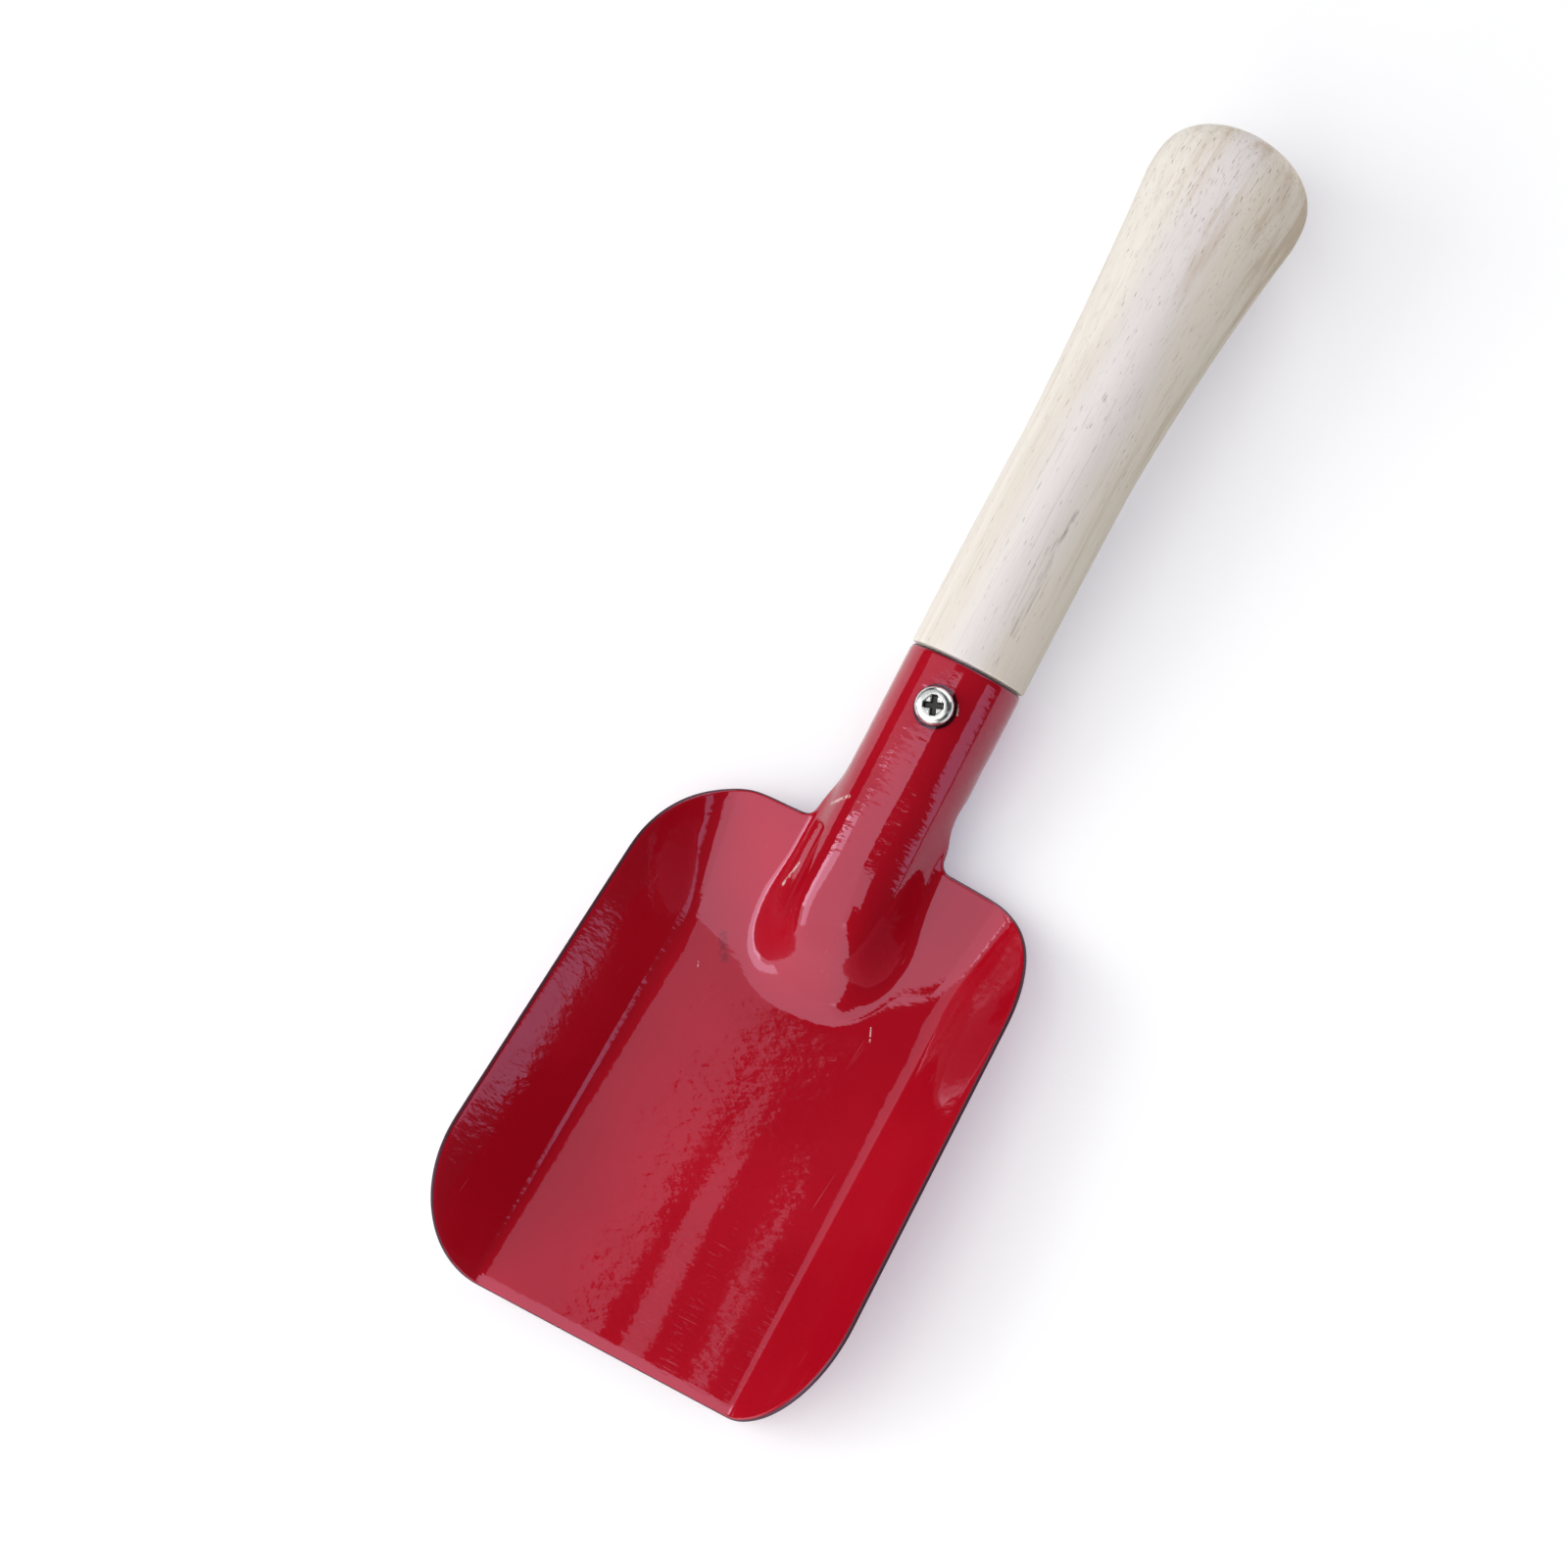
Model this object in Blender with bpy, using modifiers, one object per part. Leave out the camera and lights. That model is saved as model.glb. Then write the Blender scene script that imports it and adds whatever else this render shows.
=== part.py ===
"""A small garden shovel in three pieces: a blade pressed from one steel sheet, whose
back end is rolled into a socket, a turned wooden handle with its shank in the socket,
and the screw that holds the two together.

Metres, +Z up. Each piece is built in the blade's own frame: x runs from the front lip
to the butt, y to the left of it, and z up from the floor's upper face. An empty then
lays the shovel down as it lies on a table, on the back of its floor and on its butt,
with the origin on the table under the middle of the shovel.
"""

from math import cos, pi, radians, sin, sqrt, tan

import bmesh
import bpy
import numpy as np
from mathutils import Matrix

# The gap between pieces that touch on the real shovel
CLEARANCE = 0.0003

# The steel sheet and the blade's floor
SHEET = 0.0010
BLADE_LENGTH = 0.1008
FLOOR_WIDTH_FRONT = 0.0506
FLOOR_WIDTH_BACK = 0.0480
LIP_LENGTH = 0.0028
LIP_DROP = 0.0005

# The side walls, bent up along two creases
WALL_ANGLE = radians(50)
WALL_HEIGHT_FRONT = 0.0169
WALL_HEIGHT_BACK = 0.0140
CREASE_HALF_WIDTH_FRONT = 0.0009
CREASE_HALF_WIDTH_BACK = 0.0070
CREASE_SPREAD_START = 0.0700
FRONT_CORNER_RADIUS = 0.0220
LEFT_SHOULDER_RADIUS = 0.0213
RIGHT_SHOULDER_RADIUS = 0.0202
FRONT_SKEW = 0.0005
SHOULDER_SKEW = 0.0010

# The ramp behind the floor, whose foot is a parabola
RAMP_START = 0.0720
LEFT_RAMP_RADIUS = 0.0526
RIGHT_RAMP_RADIUS = 0.0227
RAMP_ANGLE = radians(17)
RAMP_BEND_HALF_WIDTH = 0.0060
MITRE_SHARPNESS = 2.5

# The socket, its tongue pressed into the blade, and its open seam underneath
SOCKET_RADIUS = 0.01075
SOCKET_LENGTH = 0.0348
SOCKET_TILT = radians(12)
SOCKET_HEIGHT = 0.0069
TONGUE_LENGTH = 0.0060
TONGUE_LEG_ANGLE = radians(62)
TONGUE_NOSE_BLUNTNESS = 3.0
TONGUE_NOSE_STRETCH = 1.8
TONGUE_FILLET_NOSE = 0.0060
TONGUE_FILLET_BACK = 0.0032
NOTCH_WIDTH = 0.0252
NOTCH_RADIUS = 0.0020
SEAM_GAP = 0.0008
SEAM_OPEN_START = 0.0110
SEAM_OPEN_END = 0.0270

# The wooden handle
NECK_RADIUS = 0.01095
NECK_LENGTH = 0.0400
GRIP_LENGTH = 0.1100
GRIP_BEND_RADIUS = 0.3520
BUTT_RADIUS = 0.01505
BUTT_LENGTH = 0.0130
BUTT_BLUNTNESS = 3.6
SHANK_LENGTH = 0.0210
SHANK_CHAMFER = 0.0025
SHANK_TAPER = 0.0006
SHOULDER_CHAMFER = 0.0004

# The wood screw
SCREW_FROM_RIM = 0.0090
HEAD_RADIUS = 0.0035
HEAD_HEIGHT = 0.0019
CORE_RADIUS = 0.00115
THREAD_RADIUS = 0.00170
THREAD_PITCH = 0.0013
SCREW_LENGTH = 0.0150
RECESS_RADIUS = 0.0017
RECESS_WIDTH = 0.0008
RECESS_DEPTH = 0.0013

# Counts of facets
TONGUE_STEPS = 6
LEG_STEPS = 5
HANDLE_BEVEL = 16
SCREW_SIDES = 32
HOLE_SIDES = 24
THREAD_SIDES = 12

floor_slope = (FLOOR_WIDTH_BACK - FLOOR_WIDTH_FRONT) / 2 / BLADE_LENGTH
wall_slope = (WALL_HEIGHT_BACK - WALL_HEIGHT_FRONT) / BLADE_LENGTH
nose_x = BLADE_LENGTH - TONGUE_LENGTH
socket_bore = SOCKET_RADIUS - SHEET
axis_along = np.array([cos(SOCKET_TILT), 0, sin(SOCKET_TILT)])
axis_up = np.array([-sin(SOCKET_TILT), 0, cos(SOCKET_TILT)])
axis_start = np.array([BLADE_LENGTH, 0, SOCKET_HEIGHT])
rim_centre = axis_start + SOCKET_LENGTH * axis_along


def clear_scene():
    for thing in list(bpy.data.objects):
        bpy.data.objects.remove(thing, do_unlink=True)


def new_collection(name):
    made = bpy.data.collections.new(name)
    bpy.context.scene.collection.children.link(made)
    return made


def new_material(name, colour, roughness, metallic):
    made = bpy.data.materials.new(name)
    made.use_nodes = True
    made.diffuse_color = (*colour, 1)
    shader = made.node_tree.nodes["Principled BSDF"]
    shader.inputs["Base Color"].default_value = (*colour, 1)
    shader.inputs["Roughness"].default_value = roughness
    shader.inputs["Metallic"].default_value = metallic
    return made


def add_object(name, mesh, collection, material=None):
    made = bpy.data.objects.new(name, mesh)
    collection.objects.link(made)
    if material:
        mesh.materials.append(material)
    return made


def add_cutter(name, mesh, collection):
    made = add_object(name, mesh, collection)
    made.hide_render = True
    made.display_type = "WIRE"
    return made


def add_boolean(target, other, operation):
    modifier = target.modifiers.new(other.name, "BOOLEAN")
    modifier.operation = operation
    modifier.object = other
    modifier.solver = "EXACT"


def smoothstep(value):
    part = np.clip(value, 0, 1)
    return part * part * (3 - 2 * part)


def bend_up(distance, half_width):
    """Nought before a bend and the distance after it, joined by a parabola."""
    inside = (distance + half_width) ** 2 / (4 * half_width)
    return np.where(distance < -half_width, 0, np.where(distance > half_width, distance, inside))


def blended_max(first, second, blend):
    """The higher of two heights, with a fillet where they come within the blend."""
    near = np.maximum(blend - np.abs(first - second), 0)
    return np.maximum(first, second) + near * near / (4 * blend)


def floor_half_width(x):
    return FLOOR_WIDTH_FRONT / 2 + floor_slope * x


def crease_half_width(x):
    """Tight along the floor, and spreading into the back corner."""
    share = 0.2 * np.clip(x / BLADE_LENGTH, 0, 1)
    share = share + 0.8 * smoothstep((x - CREASE_SPREAD_START) / (BLADE_LENGTH - CREASE_SPREAD_START))
    return CREASE_HALF_WIDTH_FRONT + (CREASE_HALF_WIDTH_BACK - CREASE_HALF_WIDTH_FRONT) * share


def edge_half_width(x, shoulder_radius):
    """Half the blade's width at x: the sheet's flat outline has round corners, and what
    lies past the crease is measured up the wall."""
    wall = (WALL_HEIGHT_FRONT + wall_slope * x) / sin(WALL_ANGLE)
    front = np.clip(FRONT_CORNER_RADIUS - x, 0, FRONT_CORNER_RADIUS)
    back = np.clip(x - BLADE_LENGTH + shoulder_radius, 0, shoulder_radius)
    cut = FRONT_CORNER_RADIUS - np.sqrt(FRONT_CORNER_RADIUS**2 - front**2)
    cut = cut + shoulder_radius - np.sqrt(shoulder_radius**2 - back**2)
    left = wall - cut
    return floor_half_width(x) + np.where(left > 0, left * cos(WALL_ANGLE), left)


def tongue_section(across):
    """The socket's section as a height over its axis: an arc, then a straight leg."""
    reach = SOCKET_RADIUS * sin(TONGUE_LEG_ANGLE)
    arc = np.sqrt(SOCKET_RADIUS**2 - np.minimum(across, reach) ** 2)
    return arc - np.maximum(across - reach, 0) * tan(TONGUE_LEG_ANGLE)


def socket_axis_height(x):
    return SOCKET_HEIGHT - (BLADE_LENGTH - x) * tan(SOCKET_TILT)


def tongue_height(x, y):
    """The tongue: the socket's section carried along its axis, with a round nose."""
    ahead = np.maximum(nose_x - x, 0) / TONGUE_NOSE_STRETCH
    power = TONGUE_NOSE_BLUNTNESS
    reach = (np.abs(y) ** power + ahead**power) ** (1 / power)
    section = tongue_section(reach) / cos(SOCKET_TILT)
    return socket_axis_height(x) + section


def blade_height(x, y):
    """The upper face of the blade: floor, side walls, back ramp and tongue."""
    past_crease = np.abs(y) - floor_half_width(x)
    wall = bend_up(past_crease, crease_half_width(x)) * tan(WALL_ANGLE)
    behind = x - RAMP_START - y**2 / (2 * np.where(y > 0, LEFT_RAMP_RADIUS, RIGHT_RAMP_RADIUS))
    ramp = bend_up(behind, RAMP_BEND_HALF_WIDTH) * tan(RAMP_ANGLE)
    dish = (wall**MITRE_SHARPNESS + ramp**MITRE_SHARPNESS) ** (1 / MITRE_SHARPNESS)
    growth = smoothstep((nose_x - x) / SOCKET_RADIUS)
    fillet = TONGUE_FILLET_BACK + (TONGUE_FILLET_NOSE - TONGUE_FILLET_BACK) * growth
    lip = LIP_DROP * np.maximum(1 - x / LIP_LENGTH, 0) ** 2
    return blended_max(dish, tongue_height(x, y), fillet) - lip


def skewed(x, y):
    """The front edge is cut a little askew, and the left shoulder lies further forward
    than the right one."""
    middle = BLADE_LENGTH / 2
    front = FRONT_SKEW * smoothstep((middle - x) / middle) * (0.5 - y / FLOOR_WIDTH_FRONT)
    rear = SHOULDER_SKEW * smoothstep((x - middle) / middle) * np.tanh(1.4 * y / (NOTCH_WIDTH / 2))
    return x + front - rear


def blade_rows():
    """Where the blade's cross sections stand: close together round the corners and the nose."""
    turn = np.linspace(0, pi / 2, 9)
    front = FRONT_CORNER_RADIUS * (1 - np.cos(turn))
    back = BLADE_LENGTH - LEFT_SHOULDER_RADIUS * (1 - np.cos(turn[::-1]))
    nose_start = nose_x - TONGUE_NOSE_STRETCH * (SOCKET_RADIUS + 1.2 * TONGUE_FILLET_NOSE)
    plain = np.linspace(front[-1], nose_start, 5)[1:]
    nose = np.linspace(nose_start, back[0], 13)[1:-1]
    return np.concatenate([front, plain, nose, back])


def blade_columns(x, shoulder_radius):
    """Half a cross section's places across: tongue, floor, crease and wall."""
    tongue = SOCKET_RADIUS * np.sin(np.linspace(0, TONGUE_LEG_ANGLE, TONGUE_STEPS + 1))
    notch_outer = NOTCH_WIDTH / 2 + NOTCH_RADIUS
    leg = np.linspace(tongue[-1], notch_outer, LEG_STEPS + 1)[1:]
    edge = edge_half_width(x, shoulder_radius)
    bend = np.minimum(crease_half_width(x), (edge - notch_outer) / 4)
    crease = np.minimum(floor_half_width(x), edge - 1.3 * bend)
    ground = np.linspace(notch_outer, crease - bend, 3)[1:]
    turn = np.linspace(crease - bend, crease + bend, 4)[1:]
    wall = np.linspace(crease + bend, edge, 4)[1:]
    return np.concatenate([tongue, leg, ground, turn, wall])


def section_point(arc_length, leg_angle):
    """The place on the socket's section at an arc length from its top."""
    arc_end = SOCKET_RADIUS * leg_angle
    angle = np.minimum(np.abs(arc_length), arc_end) / SOCKET_RADIUS
    leg = np.maximum(np.abs(arc_length) - arc_end, 0)
    across = SOCKET_RADIUS * np.sin(angle) + leg * cos(leg_angle)
    up = SOCKET_RADIUS * np.cos(angle) - leg * sin(leg_angle)
    return np.sign(arc_length) * across, up


def rolled_half_width(along, notch, notch_outer):
    """Half the rolled sheet's width: a round notch, then it widens until its edges
    nearly meet under the socket."""
    full = pi * SOCKET_RADIUS - SEAM_GAP / 2
    closing = smoothstep((along - SEAM_OPEN_START) / (SEAM_OPEN_END - SEAM_OPEN_START))
    before = max(1 - along / NOTCH_RADIUS, 0)
    rounding = (notch_outer - notch) * (1 - sqrt(1 - before**2))
    return notch + (full - notch) * closing + rounding


def socket_surface(shoulder_row):
    """The socket's rows: they leave the blade's last row upright, with its flared foot,
    and slide along the socket's axis until they stand square to it at the rim."""
    across = shoulder_row[:, 1]
    up = (shoulder_row[:, 2] - SOCKET_HEIGHT) * cos(SOCKET_TILT)
    skew = shoulder_row[:, 0] - BLADE_LENGTH
    middle = len(across) // 2
    steps = np.hypot(np.diff(across), np.diff(up))
    arc = np.concatenate([[0], np.cumsum(steps)])
    arc -= arc[middle]
    notch = np.interp(NOTCH_WIDTH / 2, across[middle:], arc[middle:])
    notch_turn = NOTCH_RADIUS * (1 - np.cos(np.linspace(0, pi / 2, 4)))
    rows = []
    for along in [*notch_turn[1:], *np.linspace(NOTCH_RADIUS, SOCKET_LENGTH, 16)[1:]]:
        here = arc / arc[-1] * rolled_half_width(along, notch, arc[-1])
        leg_angle = TONGUE_LEG_ANGLE + (pi - TONGUE_LEG_ANGLE) * smoothstep(along / SEAM_OPEN_END)
        round_across, round_up = section_point(here, leg_angle)
        rolled = smoothstep(along / SEAM_OPEN_START)
        row_across = rolled * round_across + (1 - rolled) * np.interp(here, arc, across)
        row_up = rolled * round_up + (1 - rolled) * np.interp(here, arc, up)
        upright = 1 - smoothstep(along / SOCKET_LENGTH)
        forward = along + upright * row_up * tan(SOCKET_TILT)
        place = axis_start + np.outer(forward, axis_along) + np.outer(row_up, axis_up)
        place[:, 1] = row_across
        place[:, 0] += skew * (1 - rolled)
        rows.append(place)
    return rows


def build_sheet():
    """The sheet's upper face: cross sections of the blade, and from its middle columns
    on, sections of the socket."""
    rows = []
    for x in blade_rows():
        right = blade_columns(x, RIGHT_SHOULDER_RADIUS)
        y = np.concatenate([-right[:0:-1], blade_columns(x, LEFT_SHOULDER_RADIUS)])
        rows.append(np.stack([skewed(x, y), y, blade_height(x, y)], axis=1))
    middle = len(rows[-1]) // 2
    shared = slice(middle - TONGUE_STEPS - LEG_STEPS, middle + TONGUE_STEPS + LEG_STEPS + 1)
    sheet = bmesh.new()
    blade = [[sheet.verts.new(point) for point in row] for row in rows]
    socket = [[sheet.verts.new(point) for point in row] for row in socket_surface(rows[-1][shared])]
    for patch in (blade, [blade[-1][shared], *socket]):
        for low, high in zip(patch, patch[1:]):
            for column in range(len(low) - 1):
                sheet.faces.new((low[column], high[column], high[column + 1], low[column + 1]))
    mesh = bpy.data.meshes.new("blade")
    sheet.to_mesh(mesh)
    sheet.free()
    return mesh


def build_blade(collection, cutters, material):
    mesh = build_sheet()
    blade = add_object("blade", mesh, collection, material)
    solidify = blade.modifiers.new("sheet_thickness", "SOLIDIFY")
    solidify.thickness = SHEET
    solidify.offset = -1
    solidify.use_even_offset = True
    hole = cylinder_mesh("sheet_screw_hole", THREAD_RADIUS + CLEARANCE, 4 * SHEET, HOLE_SIDES)
    cutter = add_cutter("sheet_screw_hole", hole, cutters)
    cutter.matrix_world = screw_frame()
    add_boolean(blade, cutter, "DIFFERENCE")
    mesh.shade_smooth()
    return blade


def screw_frame():
    """The frame of the screw: its axis square to the socket, its origin on the socket's top."""
    origin = rim_centre - SCREW_FROM_RIM * axis_along + SOCKET_RADIUS * axis_up
    columns = np.column_stack([axis_along, (0, 1, 0), axis_up, origin])
    return Matrix([*columns.tolist(), (0, 0, 0, 1)])


def cylinder_mesh(name, radius, length, sides):
    made = bmesh.new()
    bmesh.ops.create_cone(
        made, cap_ends=True, segments=sides, radius1=radius, radius2=radius, depth=length
    )
    mesh = bpy.data.meshes.new(name)
    made.to_mesh(mesh)
    made.free()
    return mesh


def handle_profile():
    """Distances along the handle from the socket's rim, with the radius at each."""
    shank_radius = socket_bore - CLEARANCE
    tip_radius = shank_radius - SHANK_TAPER
    shank = [
        (-SHANK_LENGTH, tip_radius - SHANK_CHAMFER),
        (-SHANK_LENGTH + SHANK_CHAMFER, tip_radius),
        (0, shank_radius),
        (CLEARANCE, shank_radius),
    ]
    collar = [
        (CLEARANCE, NECK_RADIUS - SHOULDER_CHAMFER),
        (CLEARANCE + SHOULDER_CHAMFER, NECK_RADIUS),
    ]
    swell_end = GRIP_LENGTH - BUTT_LENGTH
    share = np.linspace(0, 1, 15)
    swell = NECK_RADIUS + (BUTT_RADIUS - NECK_RADIUS) * share**1.45 * (1 - 0.06 * np.sin(pi * share))
    grip = list(zip(NECK_LENGTH + (swell_end - NECK_LENGTH) * share, swell))
    turn = np.sin(np.linspace(0, pi / 2, 13)[1:])
    ends = BUTT_RADIUS * np.sqrt(1 - turn**BUTT_BLUNTNESS)
    ends[-1] = ends[-2] / 2
    butt = list(zip(swell_end + BUTT_LENGTH * turn, ends))
    return shank + collar + grip + butt


def handle_centre(along):
    """The handle's centre line: straight in the socket, then an arc that bends down."""
    if along <= 0:
        return rim_centre + along * axis_along
    turned = along / GRIP_BEND_RADIUS
    ahead = GRIP_BEND_RADIUS * sin(turned)
    down = GRIP_BEND_RADIUS * (1 - cos(turned))
    return rim_centre + ahead * axis_along - down * axis_up


def mesh_from_curve(thing, name):
    """The curve object's mesh with its caps welded on."""
    bpy.context.view_layer.update()
    graph = bpy.context.evaluated_depsgraph_get()
    mesh = bpy.data.meshes.new_from_object(thing.evaluated_get(graph))
    mesh.name = name
    welded = bmesh.new()
    welded.from_mesh(mesh)
    bmesh.ops.remove_doubles(welded, verts=welded.verts, dist=1e-6)
    bmesh.ops.recalc_face_normals(welded, faces=welded.faces)
    welded.to_mesh(mesh)
    welded.free()
    mesh.materials.clear()
    bpy.data.objects.remove(thing, do_unlink=True)
    return mesh


def swept_curve(name, points, radii, bevel, collection):
    """A round curve through points, with a radius at each."""
    curve = bpy.data.curves.new(name, "CURVE")
    curve.dimensions = "3D"
    curve.bevel_depth = 1.0
    curve.bevel_resolution = bevel
    curve.use_fill_caps = True
    spline = curve.splines.new("POLY")
    spline.points.add(len(points) - 1)
    for knot, place, radius in zip(spline.points, points, radii):
        knot.co = (*place, 1)
        knot.radius = radius
    return add_object(name, curve, collection)


def build_handle(collection, cutters, material):
    profile = handle_profile()
    points = [handle_centre(along) for along, _ in profile]
    radii = [radius for _, radius in profile]
    sweep = swept_curve("handle_sweep", points, radii, HANDLE_BEVEL, cutters)
    mesh = mesh_from_curve(sweep, "handle")
    handle = add_object("handle", mesh, collection, material)
    depth = SCREW_LENGTH + CLEARANCE + SHEET
    hole = cylinder_mesh("pilot_hole", THREAD_RADIUS + CLEARANCE, 2 * depth, HOLE_SIDES)
    cutter = add_cutter("pilot_hole", hole, cutters)
    cutter.matrix_world = screw_frame()
    add_boolean(handle, cutter, "DIFFERENCE")
    mesh.shade_smooth()
    return handle


def head_profile():
    """The screw's outline from the top of its head down to its tip, as radius and height."""
    turn = np.linspace(0, 0.42 * pi, 6)
    crown = [
        (HEAD_RADIUS * 0.62 + HEAD_RADIUS * 0.38 * sin(a), CLEARANCE + HEAD_HEIGHT * (0.30 + 0.70 * cos(a)))
        for a in turn
    ]
    rim = [(HEAD_RADIUS, CLEARANCE + 0.22 * HEAD_HEIGHT), (HEAD_RADIUS, CLEARANCE), (CORE_RADIUS, CLEARANCE)]
    tip = [(CORE_RADIUS, -SCREW_LENGTH + 3 * CORE_RADIUS), (0, -SCREW_LENGTH)]
    return [(0, CLEARANCE + HEAD_HEIGHT), *crown, *rim, *tip]


def thread_points():
    """The thread's centre line, a helix that starts and ends inside the core."""
    bottom = -SCREW_LENGTH + 3 * CORE_RADIUS
    top = -SHEET - CLEARANCE
    count = int((top - bottom) / THREAD_PITCH * THREAD_SIDES)
    height = np.linspace(bottom, top, count)
    angle = 2 * pi * (height - bottom) / THREAD_PITCH
    ends = smoothstep(np.minimum(np.arange(count), np.arange(count)[::-1]) / (THREAD_SIDES / 2))
    ridge = (THREAD_RADIUS - CORE_RADIUS) / 2
    reach = CORE_RADIUS * 0.75 + (CORE_RADIUS * 0.25 + ridge) * ends - ridge * 0.15
    points = np.stack([reach * np.cos(angle), reach * np.sin(angle), height], axis=1)
    return points, np.full(count, ridge * 1.15)


def build_screw(collection, cutters, material):
    outline = head_profile()
    mesh = bpy.data.meshes.new("screw_profile")
    corners = [(radius, 0, height) for radius, height in outline]
    mesh.from_pydata(corners, [(i, i + 1) for i in range(len(corners) - 1)], [])
    screw = add_object("screw", mesh, collection, material)
    turning = screw.modifiers.new("turning", "SCREW")
    turning.steps = SCREW_SIDES
    turning.render_steps = SCREW_SIDES
    turning.use_merge_vertices = True
    turning.merge_threshold = 1e-6
    turning.use_normal_calculate = True
    points, radii = thread_points()
    sweep = swept_curve("thread_sweep", points.tolist(), radii.tolist(), 0, cutters)
    thread = add_cutter("thread", mesh_from_curve(sweep, "thread"), cutters)
    thread.matrix_world = screw_frame()
    add_boolean(screw, thread, "UNION")
    for index in range(2):
        slot = bmesh.new()
        bmesh.ops.create_cube(slot, size=1)
        size = (2 * RECESS_RADIUS, RECESS_WIDTH, 2 * RECESS_DEPTH)
        bmesh.ops.scale(slot, vec=size, verts=slot.verts)
        slot_mesh = bpy.data.meshes.new(f"recess_{index}")
        slot.to_mesh(slot_mesh)
        slot.free()
        cutter = add_cutter(f"recess_{index}", slot_mesh, cutters)
        lift = Matrix.Translation((0, 0, CLEARANCE + HEAD_HEIGHT))
        cutter.matrix_world = screw_frame() @ lift @ Matrix.Rotation(radians(20 + 90 * index), 4, "Z")
        add_boolean(screw, cutter, "DIFFERENCE")
    screw.matrix_world = screw_frame()
    return screw


def evaluated_points(thing):
    bpy.context.view_layer.update()
    graph = bpy.context.evaluated_depsgraph_get()
    seen = thing.evaluated_get(graph)
    mesh = seen.to_mesh()
    points = np.empty(len(mesh.vertices) * 3)
    mesh.vertices.foreach_get("co", points)
    seen.to_mesh_clear()
    matrix = np.array(thing.matrix_world)
    return points.reshape(-1, 3) @ matrix[:3, :3].T + matrix[:3, 3]


def turned_down(points, pitch):
    """Points after the shovel is pitched so that its butt goes down."""
    x = points[:, 0] * cos(pitch) + points[:, 2] * sin(pitch)
    z = points[:, 2] * cos(pitch) - points[:, 0] * sin(pitch)
    return np.stack([x, points[:, 1], z], axis=1)


def resting_pitch(blade_points, handle_points):
    """The pitch at which the blade and the butt reach down to the same level."""
    low, high = radians(-20), radians(30)
    for _ in range(60):
        pitch = (low + high) / 2
        gap = turned_down(handle_points, pitch)[:, 2].min() - turned_down(blade_points, pitch)[:, 2].min()
        if gap > 0:
            low = pitch
        else:
            high = pitch
    return (low + high) / 2


def lay_down(pieces, cutters):
    """Parents everything to an empty that lays the shovel on the table."""
    blade_points = evaluated_points(pieces[0])
    handle_points = evaluated_points(pieces[1])
    pitch = resting_pitch(blade_points, handle_points)
    lying = turned_down(np.concatenate([blade_points, handle_points]), pitch)
    low, high = lying.min(axis=0), lying.max(axis=0)
    pose = bpy.data.objects.new("resting_pose", None)
    bpy.context.scene.collection.objects.link(pose)
    pose.location = (-(low[0] + high[0]) / 2, -(low[1] + high[1]) / 2, -low[2])
    pose.rotation_euler = (0, pitch, 0)
    for thing in [*pieces, *cutters.objects]:
        thing.parent = pose


def main():
    clear_scene()
    shovel = new_collection("garden_shovel")
    cutters = new_collection("cutters")
    paint = new_material("red_paint", (0.47, 0.006, 0.022), 0.22, 0.0)
    wood = new_material("raw_wood", (0.76, 0.68, 0.58), 0.62, 0.0)
    zinc = new_material("bright_zinc", (0.70, 0.71, 0.70), 0.25, 1.0)
    blade = build_blade(shovel, cutters, paint)
    handle = build_handle(shovel, cutters, wood)
    screw = build_screw(shovel, cutters, zinc)
    lay_down([blade, handle, screw], cutters)


main()
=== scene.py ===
"""A small garden shovel on a white table: a red enamelled blade pressed from one steel
sheet, a turned wooden handle in the blade's rolled socket, and the screw that joins them.

Metres, +Z up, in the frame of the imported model.
"""

from math import cos, pi, radians, sin, tan

import bpy
import numpy as np
from mathutils import Euler, Matrix, Vector


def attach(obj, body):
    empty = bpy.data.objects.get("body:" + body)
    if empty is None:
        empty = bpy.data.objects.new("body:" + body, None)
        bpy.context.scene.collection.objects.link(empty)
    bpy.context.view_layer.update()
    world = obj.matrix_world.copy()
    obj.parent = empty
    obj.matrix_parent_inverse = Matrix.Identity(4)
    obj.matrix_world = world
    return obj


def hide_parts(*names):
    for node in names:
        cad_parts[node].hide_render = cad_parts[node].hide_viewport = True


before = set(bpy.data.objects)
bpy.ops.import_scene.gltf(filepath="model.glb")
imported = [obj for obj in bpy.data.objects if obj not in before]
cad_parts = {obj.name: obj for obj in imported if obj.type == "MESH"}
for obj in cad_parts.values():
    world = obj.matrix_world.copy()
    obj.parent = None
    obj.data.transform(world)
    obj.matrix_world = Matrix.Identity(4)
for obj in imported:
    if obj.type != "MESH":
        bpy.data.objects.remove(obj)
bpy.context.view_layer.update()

# The blade is one sheet of mild steel, a millimetre thick. A press bends its two sides up
# along creases and raises a tongue along its middle. Behind the shoulders the same sheet
# is rolled into a socket with an open seam underneath, and all of it is dipped in enamel.
SHEET = 0.0010
BLADE_LENGTH = 0.1008
FLOOR_WIDTH_FRONT = 0.0506
FLOOR_WIDTH_BACK = 0.0480
LIP_LENGTH = 0.0028
LIP_DROP = 0.0005
WALL_ANGLE = radians(50)
WALL_HEIGHT_FRONT = 0.0169
WALL_HEIGHT_BACK = 0.0140
CREASE_HALF_WIDTH_FRONT = 0.0009
CREASE_HALF_WIDTH_BACK = 0.0070
CREASE_SPREAD_START = 0.0700
CREASE_EARLY_SHARE = 0.2
FRONT_CORNER_RADIUS = 0.0220
LEFT_SHOULDER_RADIUS = 0.0213
RIGHT_SHOULDER_RADIUS = 0.0202
FRONT_SKEW = 0.0005
SHOULDER_SKEW = 0.0010
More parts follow.
